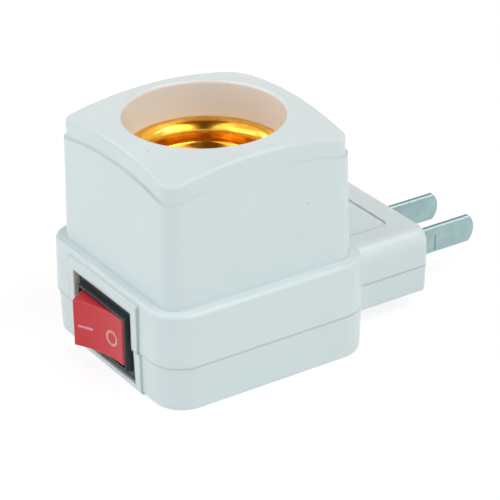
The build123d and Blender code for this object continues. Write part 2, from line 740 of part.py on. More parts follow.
# Moving contact: a seesaw plate on the common terminal, tilted away from the fixed contact
seesaw = Plane(origin=(fulcrum_x, 0, parting),
               x_dir=(math.cos(math.radians(-contact_tilt)),
                      math.sin(math.radians(-contact_tilt)), 0),
               z_dir=(0, 0, 1))
with BuildPart() as moving_contact:
    with BuildSketch(seesaw.offset(-moving_width / 2)):
        with Locations((-plate_face - moving_thick / 2, 0)):
            Rectangle(moving_thick, moving_length)
        for side in (-1, 1):
            with Locations((-plate_face - moving_flange / 2,
                            side * (moving_length / 2 - moving_thick / 2))):
                Rectangle(moving_flange, moving_thick)
    extrude(amount=moving_width)
moving_contact.part.label = "moving_contact"
export_step(moving_contact.part, "parts/moving_contact.step")

with BuildPart() as moving_tip:
    with BuildSketch(Plane(origin=seesaw.from_local_coords((-plate_face, -tip_offset, 0)),
                           z_dir=seesaw.x_dir)):
        Circle(tip_radius)
    extrude(amount=tip_height, taper=tip_draft)
moving_tip.part.label = "moving_tip"
export_step(moving_tip.part, "parts/moving_tip.step")

# Fixed contact: where the moving tip arrives when the rocker is switched over
arrive = math.radians(contact_tilt)
tip_edge = tip_offset + tip_radius
fixed_face = (fulcrum_x + (tip_height - plate_face) * math.cos(arrive)
              + tip_edge * math.sin(arrive) + part_gap / 2)
head_face = fixed_face + tip_height
with BuildPart() as fixed_tip:
    with BuildSketch(Plane(origin=(head_face, -tip_offset, parting), z_dir=(-1, 0, 0))):
        Circle(tip_radius)
    extrude(amount=tip_height, taper=tip_draft)
fixed_tip.part.label = "fixed_tip"
export_step(fixed_tip.part, "parts/fixed_tip.step")


def terminal(y, x_start, x_end):
    """A flat terminal strip with a rounded, drilled tail outside the switch body."""
    with BuildSketch(Plane.XZ.offset(-y - terminal_thick / 2)) as strip:
        with Locations(((x_start + x_end) / 2, parting)):
            Rectangle(x_end - x_start, terminal_width)
        chamfer([v for v in strip.vertices() if v.X > x_end - 0.01], terminal_corner)
        with Locations((x_end - terminal_hole_from_end, parting)):
            Circle(terminal_hole, mode=Mode.SUBTRACT)
    extrude(strip.sketch, amount=terminal_thick)


with BuildPart() as common_terminal:
    terminal(0, fulcrum_x, body_back + terminal_tail)
    post(fulcrum_x, 0, bearing_radius, parting - terminal_width / 2,
         parting + terminal_width / 2)
common_terminal.part.label = "common_terminal"
export_step(common_terminal.part, "parts/common_terminal.step")

with BuildPart() as switched_terminal:
    terminal(-tip_offset, head_face, body_back + terminal_tail)
    slab(head_face, head_face + terminal_thick, 2 * (tip_radius + head_margin),
         parting - terminal_width / 2, parting + terminal_width / 2, y=-tip_offset)
switched_terminal.part.label = "switched_terminal"
export_step(switched_terminal.part, "parts/switched_terminal.step")


def route_radii(points):
    """The largest arcs that fit the runs of a wire's route."""
    radii = []
    for before, here, after in zip(points, points[1:], points[2:]):
        arriving, leaving = Vector(here) - Vector(before), Vector(after) - Vector(here)
        turn = math.radians(arriving.get_angle(leaving))
        run = min(arriving.length, leaving.length)
        radii.append(bend_share * run / math.tan(turn / 2))
    return radii


# Inner wires, each soldered at its two ends
beside = wire_radius + snug_gap
blade_tail_x = block_end - blade_root
tag_under = carrier_bottom - tag_thick - beside
terminal_end = body_back + terminal_tail
blade_side = blade_y + blade_thick / 2 + beside
live_route = [
    (blade_tail_x + 3.4, blade_side, parting),
    (blade_tail_x - 2.5, blade_side, parting),
    (18.0, 9.6, 8.4),
    (10.0, 8.6, 6.6),
    (3.6, 4.4, 7.6),
    (0.6, terminal_thick / 2 + beside + 0.5, parting - 0.6),
    (terminal_end - 4.6, terminal_thick / 2 + beside, parting),
]
switched_route = [
    (terminal_end - 4.4, -tip_offset - terminal_thick / 2 - beside, parting),
    (terminal_end + 1.6, -tip_offset - terminal_thick / 2 - beside, parting),
    (4.6, -5.4, 11.8),
    (7.0, -2.6, 14.4),
    (5.4, -0.4, tag_under - 0.6),
    (leaf_rivet_x + tag_length / 2 + 1.6, 0.0, tag_under),
]
neutral_route = [
    (blade_tail_x + 3.4, -blade_side, parting),
    (blade_tail_x - 2.5, -blade_side, parting),
    (19.6, -9.0, 11.2),
    (15.0, -10.2, 14.6),
    (10.4, -shell_rivet_offset, tag_under),
    (tag_length / 2 + 0.6, -shell_rivet_offset, tag_under),
]

with BuildPart() as live_wire:
    with BuildLine() as path:
        FilletPolyline(*live_route, radius=route_radii(live_route))
    with BuildSketch(Plane(origin=path.line @ 0, z_dir=path.line % 0)):
        Circle(wire_radius)
    sweep()
live_wire.part.label = "live_wire"
export_step(live_wire.part, "parts/live_wire.step")

with BuildPart() as switched_wire:
    with BuildLine() as path:
        FilletPolyline(*switched_route, radius=route_radii(switched_route))
    with BuildSketch(Plane(origin=path.line @ 0, z_dir=path.line % 0)):
        Circle(wire_radius)
    sweep()
switched_wire.part.label = "switched_wire"
export_step(switched_wire.part, "parts/switched_wire.step")

with BuildPart() as neutral_wire:
    with BuildLine() as path:
        FilletPolyline(*neutral_route, radius=route_radii(neutral_route))
    with BuildSketch(Plane(origin=path.line @ 0, z_dir=path.line % 0)):
        Circle(wire_radius)
    sweep()
neutral_wire.part.label = "neutral_wire"
export_step(neutral_wire.part, "parts/neutral_wire.step")
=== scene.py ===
"""Looks of a plug-in lamp holder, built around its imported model.

The sizes of the holder's own pieces are in millimetres and become metres in the meshes.
The studio's floor, lamps and card are in metres.
"""

import logging
import math
from dataclasses import dataclass
from enum import Enum
from typing import Callable, Sequence

import bmesh
import bpy
from mathutils import Matrix, Vector

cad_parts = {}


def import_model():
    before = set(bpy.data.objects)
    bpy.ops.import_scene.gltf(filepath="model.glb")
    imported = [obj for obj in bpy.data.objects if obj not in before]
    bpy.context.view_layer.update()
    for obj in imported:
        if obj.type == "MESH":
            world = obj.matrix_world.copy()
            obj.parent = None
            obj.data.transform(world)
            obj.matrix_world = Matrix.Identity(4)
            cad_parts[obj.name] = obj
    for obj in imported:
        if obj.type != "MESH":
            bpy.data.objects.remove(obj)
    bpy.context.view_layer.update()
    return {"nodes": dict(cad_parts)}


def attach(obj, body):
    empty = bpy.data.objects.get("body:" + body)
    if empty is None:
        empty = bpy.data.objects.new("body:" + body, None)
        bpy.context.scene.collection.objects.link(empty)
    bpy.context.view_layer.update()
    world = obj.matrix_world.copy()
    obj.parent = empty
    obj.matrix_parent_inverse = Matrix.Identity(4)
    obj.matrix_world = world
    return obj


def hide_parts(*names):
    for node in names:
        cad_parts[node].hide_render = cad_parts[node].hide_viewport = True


LOG = logging.getLogger("lamp_holder")
MM = 0.001

Color = tuple[float, float, float]
Point = tuple[float, float, float]
Span = tuple[float, float]
Box = tuple[Point, Point]
Mesh = bmesh.types.BMesh
Piece = bpy.types.Object
Nodes = dict[str, Piece]
Socket = bpy.types.NodeSocket
Value = Socket | float

WHITE: Color = (1.0, 1.0, 1.0)
MOST: Span = (0.3, 0.7)  # holds most values of a noise
NEAR = 1e-6  # metres within which two points count as one


class Axis(Enum):
    """Direction that a drawn surface runs along."""

    X = 0
    Y = 1
    Z = 2


class Body(Enum):
    """Body that one of the scene's own pieces moves with."""

    HOLDER = "holder"
    ROCKER = "rocker"


class Slot(Enum):
    """Name of a material slot for one of the scene's own pieces, which nothing in the script uses.
    """

    GOLD = "gold_shell"
    STEEL = "screw_steel"
    RED = "rocker_red"


class Wiring:
    """A node tree, with short calls that add and join nodes."""

    def __init__(self, owner: bpy.types.Material | bpy.types.World) -> None:
        """Empty the owner's tree.

        Args:
            owner: the material or world that the tree belongs to.
        """
        owner.use_nodes = True
        self.tree = owner.node_tree
        self.tree.nodes.clear()

    def add(self, kind: str, **settings: object) -> bpy.types.Node:
        """Add a node.

        Args:
            kind: the node's type name.
            **settings: attributes to set on it.

        Returns:
            The new node.
        """
        node = self.tree.nodes.new(kind)
        for key, value in settings.items():
            setattr(node, key, value)
        return node

    def join(self, source: Socket, target: Socket) -> None:
        """Link one socket to another."""
        self.tree.links.new(source, target)

    def math(self, operation: str, *values: Value) -> Socket:
        """Work out a value from one or two others.

        Args:
            operation: name of the operation.
            *values: sockets or numbers.

        Returns:
            The result's socket.
        """
        node = self.add("ShaderNodeMath", operation=operation)
        for slot, value in zip(node.inputs, values):
            if isinstance(value, float):
                slot.default_value = value
            else:
                self.join(value, slot)
        return node.outputs[0]

    def glow(self, kind: str, color: Color, strength: float) -> Socket:
        """Add an even glow.

        Args:
            kind: type name of an emission or background node.
            color: its linear colour.
            strength: its strength, where 1 is as bright as white paper.

        Returns:
            The glow's socket.
        """
        node = self.add(kind)
        node.inputs["Color"].default_value = (*color, 1.0)
        node.inputs["Strength"].default_value = strength
        return node.outputs[0]

    def seen(self) -> Socket:
        """Tell the rays that see the backdrop from those that light the object.

        Returns:
            Socket that is one for a camera, mirror or glass ray, and nought for others.
        """
        rays = self.add("ShaderNodeLightPath").outputs
        clear = self.math("MAXIMUM", rays["Is Glossy Ray"], rays["Is Transmission Ray"])
        return self.math("MAXIMUM", rays["Is Camera Ray"], clear)

    def blend(self, share: Socket, first: Socket, second: Socket) -> Socket:
        """Mix two shaders.

        Args:
            share: socket with the share of the second shader.
            first: the first shader's socket.
            second: the second shader's socket.

        Returns:
            The mixed shader's socket.
        """
        node = self.add("ShaderNodeMixShader")
        for slot, source in zip(node.inputs, (share, first, second)):
            self.join(source, slot)
        return node.outputs[0]


class Shader(Wiring):
    """One material's nodes, which end in a surface shader."""

    def __init__(self, name: str) -> None:
        """Start a material with an output and a surface shader.

        Args:
            name: name of the material.
        """
        self.material = bpy.data.materials.new(name)
        super().__init__(self.material)
        self.surface = self.add("ShaderNodeBsdfPrincipled")
        self.output = self.add("ShaderNodeOutputMaterial").inputs["Surface"]
        self.join(self.surface.outputs["BSDF"], self.output)
        self.place = self.add("ShaderNodeTexCoord").outputs["Object"]

    def split(self, vector: Socket) -> list[Socket]:
        """Take a vector apart.

        Args:
            vector: the vector's socket.

        Returns:
            The sockets of its X, Y and Z.
        """
        node = self.add("ShaderNodeSeparateXYZ")
        self.join(vector, node.inputs[0])
        return list(node.outputs)

    def noise(
        self,
        size: float,
        detail: float = 3.0,
        rough: float = 0.5,
        scale: Point = (1.0, 1.0, 1.0),
    ) -> Socket:
        """Cloudy noise of a given grain.

        Args:
            size: size of one cloud in millimetres.
            detail: number of finer layers.
            rough: strength of the finer layers.
            scale: factor on the coordinates along X, Y and Z, where less is longer.

        Returns:
            The noise value's socket.
        """
        mapping = self.add("ShaderNodeMapping")
        self.join(self.place, mapping.inputs["Vector"])
        mapping.inputs["Scale"].default_value = scale
        node = self.add("ShaderNodeTexNoise")
        node.inputs["Scale"].default_value = 1.0 / (size * MM)
        node.inputs["Detail"].default_value = detail
        node.inputs["Roughness"].default_value = rough
        self.join(mapping.outputs["Vector"], node.inputs["Vector"])
        return node.outputs["Fac"]

    def ramp(self, value: Socket, low: Color, high: Color, span: Span = MOST) -> Socket:
        """Turn a value into a colour.

        Args:
            value: the value's socket.
            low: linear colour at the start of the span.
            high: linear colour at its end.
            span: values between which the colour changes.

        Returns:
            The colour's socket.
        """
        node = self.add("ShaderNodeValToRGB")
        for element, position, color in zip(node.color_ramp.elements, span, (low, high)):
            element.position = position
            element.color = (*color, 1.0)
        self.join(value, node.inputs["Fac"])
        return node.outputs["Color"]

    def range(self, value: Socket, source: Span, target: Span) -> Socket:
        """Map a value from one range to another.

        Args:
            value: the value's socket.
            source: values to read, in the order of the target's.
            target: values that they become.

        Returns:
            The mapped value's socket.
        """
        node = self.add("ShaderNodeMapRange")
        self.join(value, node.inputs["Value"])
        ends = ("From Min", "From Max", "To Min", "To Max")
        for end, number in zip(ends, source + target):
            node.inputs[end].default_value = number
        return node.outputs["Result"]

    def mix(self, share: Socket, first: Socket, second: Color) -> Socket:
        """Mix one more colour into a tone, through a mix node's own colour sockets.

        Args:
            share: socket with the share of the second colour.
            first: the tone's socket.
            second: linear colour to mix in.

        Returns:
            The mixed colour's socket.
        """
        node = self.add("ShaderNodeMix", data_type="RGBA")
        self.join(share, node.inputs[0])
        self.join(first, node.inputs[6])
        node.inputs[7].default_value = (*second, 1.0)
        return node.outputs[2]

    def bump(self, height: Socket, depth: float, below: Socket | None = None) -> Socket:
        """Give the surface relief.

        Args:
            height: socket of the height, from 0 to 1.
            depth: depth of the relief in millimetres.
            below: normal of a coarser relief under it.

        Returns:
            The normal's socket.
        """
        node = self.add("ShaderNodeBump")
        node.inputs["Distance"].default_value = depth * MM
        self.join(height, node.inputs["Height"])
        if below is not None:
            self.join(below, node.inputs["Normal"])
        return node.outputs["Normal"]

    def soften(self, radius: float) -> Socket:
        """Round the look of edges.

        Args:
            radius: radius of the rounding in millimetres.

        Returns:
            The normal's socket.
        """
        node = self.add("ShaderNodeBevel", samples=6)
        node.inputs["Radius"].default_value = radius * MM
        return node.outputs["Normal"]

    def set(self, **values: object) -> None:
        """Set constants on the surface shader's own sockets.

        Args:
            **values: socket names with underscores for spaces.
        """
        for key, value in values.items():
            self.surface.inputs[key.replace("_", " ")].default_value = value

    def feed(self, name: str, source: Socket) -> None:
        """Link a socket to a named input of the surface shader."""
        self.join(source, self.surface.inputs[name])


def shade(color: Color, factor: float) -> Color:
    """A colour made lighter or darker by a factor."""
    return tuple(min(1.0, part * factor) for part in color)


def clamp(value: float) -> float:
    """A value held between 0 and 1."""
    return min(1.0, max(0.0, value))


@dataclass(frozen=True)
class Finish:
    """A named finish with its main colour."""

    name: str
    color: Color

    def make(self) -> bpy.types.Material:
        """Build the material.

        Returns:
            The finished material.
        """
        shader = Shader(self.name)
        self.paint(shader)
        return shader.material

    def paint(self, shader: Shader) -> None:
        """Wire the nodes, which every kind of finish does in its own way."""
        raise NotImplementedError


@dataclass(frozen=True)
class Speck:
    """A small dark fleck on the moulding, at a point in millimetres."""

    at: Point
    radius: float
    strength: float


@dataclass(frozen=True)
class MouldedPlastic(Finish):
    """Injection-moulded plastic: faint clouds of tone, dust, fine skin and a soft gloss.

    The white shell also has rounder edges, flecks, and painted light on its bore and window
    reveal.
    """

    roughness: Span = (0.24, 0.27)
    clouds: float = 0.008
    cloud_size: float = 9.0
    wear_share: float = 0.4
    swell_share: float = 0.8
    waves: float = 0.03
    skin: float = 0.006
    skin_size: float = 0.5
    dust_size: float = 0.35
    dust_span: Span = (0.76, 0.84)
    dust_cover: float = 0.35
    dust_shade: float = 0.62
    scatter: float = 0.0
    scatter_depth: float = 1.5
    scatter_radius: Color = (1.0, 0.9, 0.8)
    soften: float = 0.0
    # Painted light on the wall inside the mouth: its share and its lighter, warmer colour.
    bore_painted_light: float = 0.0
    bore_light_color: Color = (0.97, 0.99, 0.96)
    bore_radius: float = 16.9
    bore_floor: float = 41.7
    radius_blur: float = 0.5
    floor_blur: float = 0.2
    # Painted light in the window's reveal: its box, its lighter and warmer colour, and its blur.
    painted_reveal: Box | None = None
    painted_reveal_color: Color = (0.9, 0.93, 0.82)
    painted_reveal_blur: float = 0.15
    specks: tuple[Speck, ...] = ()
    speck_shade: float = 0.3
    speck_grain: float = 0.3
    speck_edge: Span = (1.35, 0.75)

    def paint(self, shader: Shader) -> None:
        """Wire the plastic.

        Args:
            shader: the material being built.
        """
        clouds = shader.noise(self.cloud_size, detail=4.0)
        low, high = (shade(self.color, 1.0 + step) for step in (-self.clouds, self.clouds))
        tone = shader.ramp(clouds, low, high)
        dust = shader.noise(self.dust_size, detail=1.0)
        grains = shader.range(dust, self.dust_span, (0.0, self.dust_cover))
        tone = shader.mix(grains, tone, shade(self.color, self.dust_shade))
        # Painted light: the wall inside the mouth is painted lighter and warmer, standing in for
        # light and the brass's glow.
        if self.bore_painted_light > 0.0:
            tone = shader.mix(self.bore_light_share(shader), tone, self.bore_light_color)
        # Painted light: the window's reveal is painted lighter and warmer, standing in for how
        # light falls in the recess.
        if self.painted_reveal is not None:
            tone = shader.mix(self.box_share(shader, *self.painted_reveal), tone, self.painted_reveal_color)
        dark = shade(self.color, self.speck_shade)
        for speck in self.specks:
            tone = shader.mix(self.speck_share(shader, speck), tone, dark)
        shader.feed("Base Color", tone)
        wear = shader.noise(self.cloud_size * self.wear_share, detail=5.0, rough=0.65)
        shader.feed("Roughness", shader.range(wear, MOST, self.roughness))
        edges = shader.soften(self.soften) if self.soften > 0.0 else None
        swell = shader.noise(self.cloud_size * self.swell_share, detail=1.0)
        coarse = shader.bump(swell, self.waves, below=edges)
        fine = shader.noise(self.skin_size, detail=2.0)
        shader.feed("Normal", shader.bump(fine, self.skin, below=coarse))
        if self.scatter > 0.0:
            depth = self.scatter_depth * MM
            shader.set(Subsurface_Weight=self.scatter, Subsurface_Scale=depth)
            shader.set(Subsurface_Radius=self.scatter_radius)

    def bore_light_share(self, shader: Shader) -> Socket:
        """Share of the painted light, a lighter and warmer tone on the wall inside the mouth only.

        Args:
            shader: the material being built.

        Returns:
            The share's socket.
        """
        x, y, z = shader.split(shader.place)
        squares = [shader.math("MULTIPLY", value, value) for value in (x, y)]
        radius = shader.math("SQRT", shader.math("ADD", *squares))
        edge, floor = self.bore_radius * MM, self.bore_floor * MM
        reach = (edge, edge - self.radius_blur * MM)
        inside = shader.range(radius, reach, (0.0, self.bore_painted_light))
        above = shader.range(z, (floor, floor + self.floor_blur * MM), (0.0, 1.0))
        return shader.math("MULTIPLY", inside, above)

    def box_share(self, shader: Shader, low: Point, high: Point) -> Socket:
        """One inside a box, fading to nought towards its faces.

        Args:
            shader: the material being built.
            low: lowest corner in millimetres.
            high: highest corner in millimetres.

        Returns:
            The share's socket.
        """
        share: Value = 1.0
        blur = self.painted_reveal_blur * MM
        for value, start, end in zip(shader.split(shader.place), low, high):
            enter = shader.range(value, (start * MM, start * MM + blur), (0.0, 1.0))
            leave = shader.range(value, (end * MM, end * MM - blur), (0.0, 1.0))
            share = shader.math("MULTIPLY", shader.math("MULTIPLY", enter, leave), share)
        return share

    def speck_share(self, shader: Shader, speck: Speck) -> Socket:
        """Share of the dark tone at one fleck, which has a ragged edge.

        Args:
            shader: the material being built.
            speck: the fleck.

        Returns:
            The share's socket.
        """
        apart = shader.add("ShaderNodeVectorMath", operation="DISTANCE")
        shader.join(shader.place, apart.inputs[0])
        apart.inputs[1].default_value = tuple(value * MM for value in speck.at)
        grain = shader.noise(self.speck_grain, detail=1.0)
        ragged = shader.math("MULTIPLY", grain, speck.radius * MM)
        near = shader.math("ADD", apart.outputs["Value"], ragged)
        outer, inner = (speck.radius * MM * part for part in self.speck_edge)
        return shader.range(near, (outer, inner), (0.0, speck.strength))


@dataclass(frozen=True)
class DrawnMetal(Finish):
    """Metal with fine streaks along one axis and faint stains, with painted shade on top where
    asked.
    """

    dark: Color
    along: Axis = Axis.X
    roughness: Span = (0.22, 0.4)
    streak_size: float = 0.12
    streak_depth: float = 0.005
    stretch: float = 40.0
    score_span: Span = (0.3, 0.75)
    score_share: float = 0.35
    stain_size: float = 3.5
    stain_span: Span = (0.35, 0.62)
    # Painted shade on faces that point up: its strength, the span of the normal's Z and the
    # darkening.
    painted_top_shade: float = 0.0
    painted_top_span: Span = (0.4, 0.9)
    painted_top_factor: float = 0.4

    def paint(self, shader: Shader) -> None:
        """Wire the metal.

        Args:
            shader: the material being built.
        """
        scale = [1.0, 1.0, 1.0]
        scale[self.along.value] = 1.0 / self.stretch
        lines = shader.noise(self.streak_size, detail=2.0, scale=tuple(scale))
        stains = shader.noise(self.stain_size, detail=5.0, rough=0.6)
        tone = shader.ramp(stains, self.dark, self.color, self.stain_span)
        scored = shader.range(lines, self.score_span, (0.0, self.score_share))
        tone = shader.mix(scored, tone, self.dark)
        # Painted shade: faces that point up are painted darker, standing in for a dimmer
        # reflection on top.
        if self.painted_top_shade > 0.0:
            normal = shader.add("ShaderNodeNewGeometry").outputs["Normal"]
            upward = shader.split(normal)[Axis.Z.value]
            painted_top_share = shader.range(upward, self.painted_top_span, (0.0, self.painted_top_shade))
            tone = shader.mix(painted_top_share, tone, shade(self.dark, self.painted_top_factor))
        shader.feed("Base Color", tone)
        shader.feed("Roughness", shader.range(lines, MOST, self.roughness))
        shader.feed("Normal", shader.bump(lines, self.streak_depth))
        shader.set(Metallic=1.0)


@dataclass(frozen=True)
class RolledBrass(Finish):
    """Bright lacquered sheet with fine upright drawing marks and a few dull spots."""

    dull: Color
    roughness: Span = (0.24, 0.1)
    mark_size: float = 0.25
    mark_scale: Point = (1.0, 1.0, 0.08)
    mark_depth: float = 0.004
    dent_size: float = 0.8
    dent_depth: float = 0.01
    stain_size: float = 2.2
    stain_span: Span = (0.3, 0.55)
    rough_span: Span = (0.35, 0.7)

    def paint(self, shader: Shader) -> None:
        """Wire the brass.

        Args:
            shader: the material being built.
        """
        stains = shader.noise(self.stain_size, detail=6.0, rough=0.65)
        shader.feed("Base Color", shader.ramp(stains, self.dull, self.color, self.stain_span))
        shader.feed("Roughness", shader.range(stains, self.rough_span, self.roughness))
        marks = shader.noise(self.mark_size, detail=2.0, scale=self.mark_scale)
        relief = shader.bump(marks, self.mark_depth)
        dents = shader.noise(self.dent_size, detail=2.0)
        shader.feed("Normal", shader.bump(dents, self.dent_depth, below=relief))
        shader.set(Metallic=1.0)


@dataclass(frozen=True)
class SoftCover(Finish):
    """Extruded wire cover: matt, with faint clouds of wear and a fine skin."""

    roughness: Span = (0.42, 0.58)
    mark_size: float = 0.9
    mark_shades: Span = (0.8, 1.15)
    skin_size: float = 0.3
    skin: float = 0.01

    def paint(self, shader: Shader) -> None:
        """Wire the cover.

        Args:
            shader: the material being built.
        """
        marks = shader.noise(self.mark_size, detail=4.0, rough=0.6)
        low, high = (shade(self.color, factor) for factor in self.mark_shades)
        shader.feed("Base Color", shader.ramp(marks, low, high))
        shader.feed("Roughness", shader.range(marks, MOST, self.roughness))
        shader.feed("Normal", shader.bump(shader.noise(self.skin_size, detail=2.0), self.skin))


@dataclass(frozen=True)
class PrintedInk(Finish):
    """Thin print with uneven cover."""

    thin: Color
    roughness: Span = (0.4, 0.55)
    cover_size: float = 0.7
    cover_span: Span = (0.3, 0.65)
    skin_size: float = 0.2
    skin: float = 0.01

    def paint(self, shader: Shader) -> None:
        """Wire the print.

        Args:
            shader: the material being built.
        """
        cover = shader.noise(self.cover_size, detail=4.0, rough=0.6)
        shader.feed("Base Color", shader.ramp(cover, self.thin, self.color, self.cover_span))
        shader.feed("Roughness", shader.range(cover, MOST, self.roughness))
        shader.feed("Normal", shader.bump(shader.noise(self.skin_size), self.skin))


def new_piece(name: str, mesh: Mesh, smooth_under: float = 35.0) -> Piece:
    """Turn a bmesh into an object at the origin.

    Args:
        name: name of the piece.
        mesh: its mesh in metres, which is freed.
        smooth_under: angle in degrees under which edges are shaded smooth.

    Returns:
        The new object.
    """
    data = bpy.data.meshes.new(name)
    limit = math.radians(smooth_under)
    for face in mesh.faces:
        face.smooth = True
    for edge in mesh.edges:
        if len(edge.link_faces) == 2:
            edge.smooth = edge.calc_face_angle(0.0) < limit
    mesh.to_mesh(data)
    mesh.free()
    piece = bpy.data.objects.new(name, data)
    bpy.context.scene.collection.objects.link(piece)
    return piece


def finish_piece(
    piece: Piece, material: bpy.types.Material, body: Body, nodes: Sequence[str] = ()
) -> None:
    """Dress a piece, hang it on its body and hide the nodes that it replaces.

    Args:
        piece: the object.
        material: its material.
        body: the body that it moves with.
        nodes: names of the nodes that it replaces.
    """
    piece.data.materials.append(material)
    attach(piece, body.value)
    if nodes:
        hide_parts(*nodes)
    LOG.info("piece %s wears %s", piece.name, material.name)


def dress(nodes: Nodes, finishes: dict[str, Finish]) -> None:
    """Give carried-over nodes their finishes.

    Args:
        nodes: the frame's nodes by name.
        finishes: finish by node name.
    """
    made: dict[str, bpy.types.Material] = {}
    for name, finish in finishes.items():
        if finish.name not in made:
            made[finish.name] = finish.make()
        for slot in nodes[name].material_slots:
            slot.material = made[finish.name]
        LOG.info("node %s wears %s", name, finish.name)


def turned(points: Sequence[Span], steps: int) -> Mesh:
    """Spin an open profile round the Z axis.

    Args:
        points: radius and height of each point in millimetres.
        steps: number of steps round.

    Returns:
        The turned mesh.
    """
    mesh = bmesh.new()
    verts = [mesh.verts.new((radius * MM, 0.0, height * MM)) for radius, height in points]
    edges = [mesh.edges.new(pair) for pair in zip(verts, verts[1:])]
    bmesh.ops.spin(
        mesh,
        geom=verts + edges,
        axis=(0, 0, 1),
        cent=(0, 0, 0),
        angle=2 * math.pi,
        steps=steps,
        use_merge=True,
    )
    bmesh.ops.remove_doubles(mesh, verts=mesh.verts[:], dist=NEAR)
    bmesh.ops.recalc_face_normals(mesh, faces=mesh.faces[:])
    return mesh


def wind(mesh: Mesh, offset: Callable[[float, float], float]) -> None:
    """Wind a thread on a turned mesh.

    Args:
        mesh: the turned mesh.
        offset: how far the thread stands out in millimetres, at a height in millimetres
            and an angle round the axis in radians.
    """
    for vert in mesh.verts:
        radius = math.hypot(vert.co.x, vert.co.y)
        if radius < NEAR:
            continue
        angle = math.atan2(vert.co.y, vert.co.x)
        scale = 1.0 + offset(vert.co.z / MM, angle) * MM / radius
        vert.co.x *= scale
        vert.co.y *= scale


def move_all(mesh: Mesh, matrix: Matrix) -> None:
    """Move every vertex of a mesh by a matrix."""
    bmesh.ops.transform(mesh, matrix=matrix, verts=mesh.verts[:])


def pull(mesh: Mesh, faces: list[bmesh.types.BMFace], offset: Point) -> None:
    """Extrude faces.

    Args:
        mesh: the mesh.
        faces: the faces to extrude, which stay where they are.
        offset: how far the new faces move, in metres.
    """
    raised = bmesh.ops.extrude_face_region(mesh, geom=faces)
    moved = [item for item in raised["geom"] if isinstance(item, bmesh.types.BMVert)]
    bmesh.ops.translate(mesh, verts=moved, vec=offset)


def face_in(mesh: Mesh) -> None:
    """Turn an open sleeve's faces towards the Z axis, or up where they lie flat.

    Args:
        mesh: the sleeve, whose faces agree with each other.
    """
    upward = Vector((0.0, 0.0, 0.5))
    inwards = 0
    for face in mesh.faces:
        centre = face.calc_center_median()
        towards = Vector((-centre.x, -centre.y, 0.0)).normalized() + upward
        inwards += 1 if face.normal.dot(towards) > 0 else -1
    if inwards < 0:
        bmesh.ops.reverse_faces(mesh, faces=mesh.faces[:])


@dataclass
class MouldedCase:
    """White upper shell and bottom cover, which stay as the frame has them."""

    white: Color = (0.735, 0.86, 0.88)
    cover_shade: float = 0.99
    shell_soften: float = 1.0
    cover_soften: float = 0.4
    # Box of the window's reveal, which gets painted light.
    window: Box = ((-24.7, -11.3, 1.5), (-21.0, 11.3, 17.9))
    specks: tuple[Speck, ...] = (
        Speck((-17.49, -7.91, 49.5), 0.32, 0.6),
        Speck((-21.0, -10.55, 48.41), 0.28, 0.35),
        Speck((-23.0, -7.06, 48.19), 0.24, 0.3),
        Speck((10.22, -21.2, 35.96), 0.3, 0.45),
        Speck((-21.88, 0.88, 26.95), 0.3, 0.4),
        Speck((12.59, 10.4, 49.17), 0.2, 0.4),
        Speck((0.71, 16.31, 49.29), 0.2, 0.35),
    )

    def dress(self, nodes: Nodes) -> None:
        """Give both mouldings their plastic.

        Args:
            nodes: the frame's nodes by name.
        """
        shell = MouldedPlastic(
            "white_moulding",
            self.white,
            soften=self.shell_soften,
            # Painted light: the mouth's wall is painted lighter and warmer.
            bore_painted_light=1.0,
            # Painted light in the window's reveal.
            painted_reveal=self.window,
            specks=self.specks,
        )
        cover = MouldedPlastic(
            "white_cover_moulding", shade(self.white, self.cover_shade), soften=self.cover_soften
        )
        dress(nodes, {"upper_shell": shell, "bottom_cover": cover})


